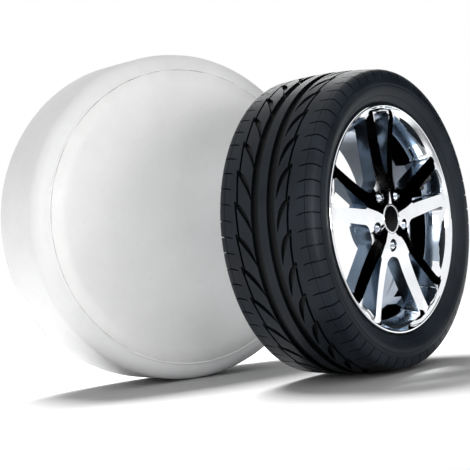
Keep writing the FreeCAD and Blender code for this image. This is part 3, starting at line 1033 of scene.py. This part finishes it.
def add_alloy_wheel(wheel):
    blank = wheel_blank()
    tools = [
        tapered_block("windows", window_outline, 1.0, [180 + 72 * n for n in range(5)]),
        tapered_block("slots", slot_outline, 0.4, [72 * n for n in range(5)]),
        lug_cutter([72 * n for n in range(5)]),
    ]
    mesh = cut_with(blank, tools)
    bm = bmesh.new()
    bm.from_mesh(mesh)
    bpy.data.meshes.remove(mesh)
    bmesh.ops.remove_doubles(bm, verts=bm.verts, dist=2e-5)
    bmesh.ops.dissolve_degenerate(bm, edges=bm.edges, dist=1e-5)
    for vert in bm.verts:
        vert.co.z += tilted(vert.co)
    bm.normal_update()
    # Faces set back below the face take the darker chromes: painted shade in the pockets and the barrel.
    for face in bm.faces:
        middle = face.calc_center_median()
        radius = middle.xy.length
        outer_cone = face.material_index == 1 and radius > 0.2155 and middle.z > 0.080
        well = abs(radius - BOLT_CIRCLE) < 0.016 and middle.z > 0.060
        if outer_cone or well:
            face.material_index = 0
        elif face.material_index == 0 and middle.z < 0.09:
            face.material_index = 2 if radius > 0.19 else 1
    name = wheel + "_chromed_wheel"
    piece = finish_piece(bm, name, PLACE[wheel], FACE_CHROME, wheel + "_wheel", smooth=28, outward=False)
    piece.data.materials.append(SHADED_POCKET_CHROME)
    piece.data.materials.append(SHADED_BARREL_CHROME)
    soften = piece.modifiers.new("soften", "BEVEL")
    soften.width = 0.0016
    soften.segments = 3
    soften.limit_method = "ANGLE"
    soften.angle_limit = math.radians(38)
    soften.use_clamp_overlap = True
    soften.harden_normals = False
    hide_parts(wheel + "_alloy_wheel")
    return piece


for wheel in PLACE:
    add_alloy_wheel(wheel)

# %% [markdown]
# ## The centre cap
# The cap is a thin black moulding that snaps into the hub, with a chromed ring pressed round its
# disc. Its face is left plain. Both are small turned pieces with real edges, so their profiles
# carry the rounding, and the disc gets the faint swirls that a moulding and a cloth leave.

# %% Cap finishes
def gloss_black():
    finish = Finish("cap_black", IOR=1.15)
    swirl = finish.noise(150, detail=4)
    finish.paint("Base Color", finish.mix(swirl, (0.001, 0.001, 0.0012), (0.004, 0.004, 0.005)))
    finish.paint("Roughness", finish.spread(swirl, 0.12, 0.20, 0.3, 0.7))
    finish.bump(finish.noise(400, detail=2), 0.08, 0.0002)
    return finish.material


CAP_BLACK = gloss_black()
CAP_LINE = ((0, 106.1), (14, 106.0), (24, 105.7), (26.4, 105.5), (27.0, 104.9), (27.1, 103.7),
            (31.2, 103.6), (31.65, 103.2), (31.65, 102.5), (31.2, 102.3), (27.6, 102.3), (27.6, 97.0),
            (27.2, 90.2), (26.4, 89.6), (24.9, 89.9), (24.5, 91.0), (24.5, 101.8), (23, 102.3),
            (0, 102.3))
RING_LINE = ((27.3, 103.75), (27.3, 105.1), (27.9, 105.75), (28.9, 105.95), (30.2, 105.6), (31.2, 104.8),
             (31.6, 104.0), (31.5, 103.75))


def small_turned(name, node, line, steps, material, place, body, closed=False):
    """A little turned piece from a profile in millimetres, rounded by one level of subdivision."""
    bm = bmesh.new()
    spin_profile(bm, [(radius * MM, height * MM) for radius, height in line], steps, closed=closed)
    piece = finish_piece(bm, name, place, material, body, smooth=40)
    soften = piece.modifiers.new("soften", "SUBSURF")
    soften.levels = soften.render_levels = 1
    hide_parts(node)


for wheel, place in PLACE.items():
    small_turned(wheel + "_cap", wheel + "_centre_cap", CAP_LINE, 64, CAP_BLACK, place,
                 wheel + "_cap")
    small_turned(wheel + "_ring", wheel + "_cap_ring", RING_LINE, 96, FACE_CHROME, place,
                 wheel + "_cap", closed=True)

# %% [markdown]
# ## Finishes for the small hardware
# The valves, the springs, the bead wires and the elastic keep the frame's own shapes, which are
# right already. They only need finishes: brass that has dulled, drawn steel wire, a softer rubber
# for the stem, and a braid for the elastic.

# %% Hardware finishes
def brushed(name, dark, pale, metallic, low, high, scale, bump):
    finish = Finish(name, Metallic=metallic)
    grain = finish.noise(scale, detail=5, roughness=0.6)
    finish.paint("Base Color", finish.mix(finish.spread(grain, 0, 1, 0.3, 0.7), dark, pale))
    finish.paint("Roughness", finish.spread(grain, low, high, 0.3, 0.7))
    finish.bump(grain, bump, 0.0003)
    return finish.material


def braid():
    """Elastic cord: two sets of slanting yarns that cross, on the cord's own object coordinates."""
    finish = Finish("elastic_braid", Roughness=0.75)
    yarns = []
    for turn in (0.7, -0.7):
        mapping = finish.add("Mapping", Vector=finish.where, Rotation=(0.0, 0.0, turn))
        wave = finish.add("TexWave", Scale=260.0, Distortion=0.4, Vector=mapping.outputs["Vector"])
        yarns.append(wave.outputs["Fac"])
    crossed = finish.add("Math")
    crossed.operation = "MAXIMUM"
    finish.tree.links.new(yarns[0], crossed.inputs[0])
    finish.tree.links.new(yarns[1], crossed.inputs[1])
    finish.paint("Base Color", finish.mix(crossed.outputs[0], (0.30, 0.30, 0.29), (0.74, 0.73, 0.70)))
    finish.bump(crossed.outputs[0], 0.6, 0.0006)
    return finish.material


# Each finish: its dark and pale colours, metallic, least and most roughness, grain scale, bump.
HARDWARE_LOOKS = {
    "bead_cores": ((0.10, 0.10, 0.11), (0.30, 0.30, 0.31), 1.0, 0.35, 0.6, 500, 0.5),
    "cap_spring": ((0.30, 0.30, 0.31), (0.52, 0.52, 0.53), 1.0, 0.25, 0.4, 600, 0.3),
    "valve_spring": ((0.30, 0.30, 0.31), (0.52, 0.52, 0.53), 1.0, 0.25, 0.4, 900, 0.3),
    "valve_tube": ((0.42, 0.29, 0.10), (0.66, 0.48, 0.19), 1.0, 0.25, 0.42, 700, 0.3),
    "valve_core": ((0.38, 0.27, 0.10), (0.60, 0.44, 0.18), 1.0, 0.3, 0.45, 900, 0.3),
    "valve_pin": ((0.42, 0.30, 0.12), (0.66, 0.50, 0.22), 1.0, 0.2, 0.35, 900, 0.2),
    "valve_stem": ((0.008, 0.009, 0.010), (0.022, 0.024, 0.027), 0.0, 0.45, 0.62, 500, 0.4),
    "valve_cap": ((0.010, 0.010, 0.011), (0.030, 0.030, 0.032), 0.0, 0.35, 0.5, 800, 0.4),
}
FINISH_NAMES = {
    "bead_cores": "bead_wire_steel", "cap_spring": "spring_wire_steel", "valve_spring": "coil_wire_steel",
    "valve_tube": "valve_tube_brass", "valve_core": "valve_core_brass", "valve_pin": "valve_pin_brass",
    "valve_stem": "valve_stem_rubber", "valve_cap": "valve_cap_plastic",
}
HARDWARE = {kind: brushed(FINISH_NAMES[kind], *look) for kind, look in HARDWARE_LOOKS.items()}


def refinish(node, material):
    shown = bpy.data.objects[node]
    for slot in shown.material_slots:
        slot.material = material
    if not shown.material_slots:
        shown.data.materials.append(material)


for wheel in PLACE:
    for kind, material in HARDWARE.items():
        refinish(wheel + "_" + kind, material)
refinish("cover_elastic", braid())

# %% [markdown]
# ## The valve springs
# A pin's spring shortens as its pin goes in. A copy of the frame's coil stands for it, in the
# frame's place, and moves with its wheel.


def pin_spring(wheel):
    node = bpy.data.objects[wheel + "_valve_spring"]
    bm = bmesh.new()
    bm.from_mesh(node.data)
    name = wheel + "_pin_spring"
    coil = finish_piece(bm, name, node.matrix_world, HARDWARE["valve_spring"], wheel + "_wheel")
    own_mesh(coil)
    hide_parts(node.name)


for wheel in PLACE:
    pin_spring(wheel)

# %% [markdown]
# ## The studio
# A round pale floor stands in white surroundings. The overhead light makes the shadows, so it lights
# the floor alone, and is strong enough to turn the rest of the floor white. The left and front
# lights skip the floor, which keeps the shadows dark, and one more from behind lifts the top of the
# bare tyre. Chrome shows only what stands round it, so dark cards hang out of view for contrast.

# %% Floor and surroundings
FLOOR_RADIUS = 2.1
FLOOR_CENTRE = (0, 0.45, 0)
FLOOR_GREY = (0.42, 0.42, 0.42, 1)
WHITE = (1, 1, 1, 1)
SOFT_FILL = 0.72


def flat_piece(name, bm, finish):
    """A flat thing of the studio's own, not part of the object."""
    mesh = bpy.data.meshes.new(name)
    bm.to_mesh(mesh)
    bm.free()
    mesh.materials.append(finish.material)
    flat = bpy.data.objects.new(name, mesh)
    bpy.context.scene.collection.objects.link(flat)
    return flat


def add_floor():
    bm = bmesh.new()
    bmesh.ops.create_circle(bm, cap_ends=True, segments=128, radius=FLOOR_RADIUS)
    bmesh.ops.translate(bm, vec=FLOOR_CENTRE, verts=bm.verts)
    return flat_piece("floor", bm, Finish("floor_paper", Base_Color=FLOOR_GREY, Roughness=0.9))


def add_surroundings():
    """White all round, but dimmer as a light than as a thing to see or to be reflected."""
    world = bpy.data.worlds.new("studio_world")
    world.use_nodes = True
    tree = world.node_tree
    path = tree.nodes.new("ShaderNodeLightPath")
    dim = tree.nodes.new("ShaderNodeMapRange")
    dim.inputs["To Min"].default_value = 1.0
    dim.inputs["To Max"].default_value = SOFT_FILL
    tree.links.new(path.outputs["Is Diffuse Ray"], dim.inputs["Value"])
    tree.links.new(dim.outputs["Result"], tree.nodes["Background"].inputs["Strength"])
    tree.nodes["Background"].inputs["Color"].default_value = WHITE
    bpy.context.scene.world = world


def lit_things(name, things, state):
    """A list for a light to include or exclude."""
    group = bpy.data.collections.new(name)
    for number, thing in enumerate(things):
        group.objects.link(thing)
        group.collection_objects[number].light_linking.link_state = state
    return group


floor = add_floor()
add_surroundings()
print("floor", 2 * FLOOR_RADIUS, "m across")


# %% Dark cards
CARD_X = 3.2
CARD_TOP = 3.2
CARD_NEAR = -1.3
CARD_FAR = 1.6
CARD_FOOT = 0.24
STAND_FOOT = 0.02
STAND_EDGE = (3.0, -2.2)


def card(name, corners):
    """A flat black card out of the camera's sight, for the chrome to reflect."""
    bm = bmesh.new()
    bm.faces.new([bm.verts.new(corner) for corner in corners])
    black = Finish(name + "_cloth", Base_Color=(0, 0, 0, 1), Roughness=1.0, Specular_IOR_Level=0.0)
    flat_piece(name, bm, black).visible_camera = False


card("dark_card", [(CARD_X, CARD_NEAR, CARD_FOOT), (CARD_X, CARD_FAR, CARD_FOOT),
                   (CARD_X, CARD_FAR, CARD_TOP), (CARD_X, CARD_NEAR, CARD_TOP)])
card("dark_stand", [(*STAND_EDGE, STAND_FOOT), (CARD_X, CARD_NEAR, STAND_FOOT),
                    (CARD_X, CARD_NEAR, CARD_TOP), (*STAND_EDGE, CARD_TOP)])


# %% Lights
def softbox(name, place, aim, size, power, lit):
    light = bpy.data.lights.new(name, "AREA")
    light.shape = "RECTANGLE"
    light.size, light.size_y = size
    light.energy = power
    lamp = bpy.data.objects.new(name, light)
    lamp.location = place
    lamp.rotation_euler = (Vector(place) - Vector(aim)).to_track_quat("Z", "Y").to_euler()
    lamp.light_linking.receiver_collection = lit
    bpy.context.scene.collection.objects.link(lamp)
    print("light", name, "of", power, "W")


bare_tyre = bpy.data.objects["display_tyre_rubber"]
FLOOR_ONLY = lit_things("floor_only", [floor], "INCLUDE")
NOT_FLOOR = lit_things("all_but_floor", [floor], "EXCLUDE")
TYRE_ONLY = lit_things("tyre_only", [bare_tyre], "INCLUDE")
MIDDLE = (0, 0, 0.35)
softbox("overhead", (0.1, 1.45, 3.0), (0, -0.3, 0.2), (2.0, 1.2), 430, FLOOR_ONLY)
softbox("left", (-2.8, -2.7, 1.1), MIDDLE, (1.0, 2.0), 38, NOT_FLOOR)
softbox("front", (0.1, -5.2, 0.7), MIDDLE, (3.6, 1.2), 92, NOT_FLOOR)
softbox("tyre_light", (1.2, 1.7, 1.9), (0.1, -0.2, 0.6), (1.4, 0.8), 16, TYRE_ONLY)
bpy.context.scene.view_settings.view_transform = "Standard"
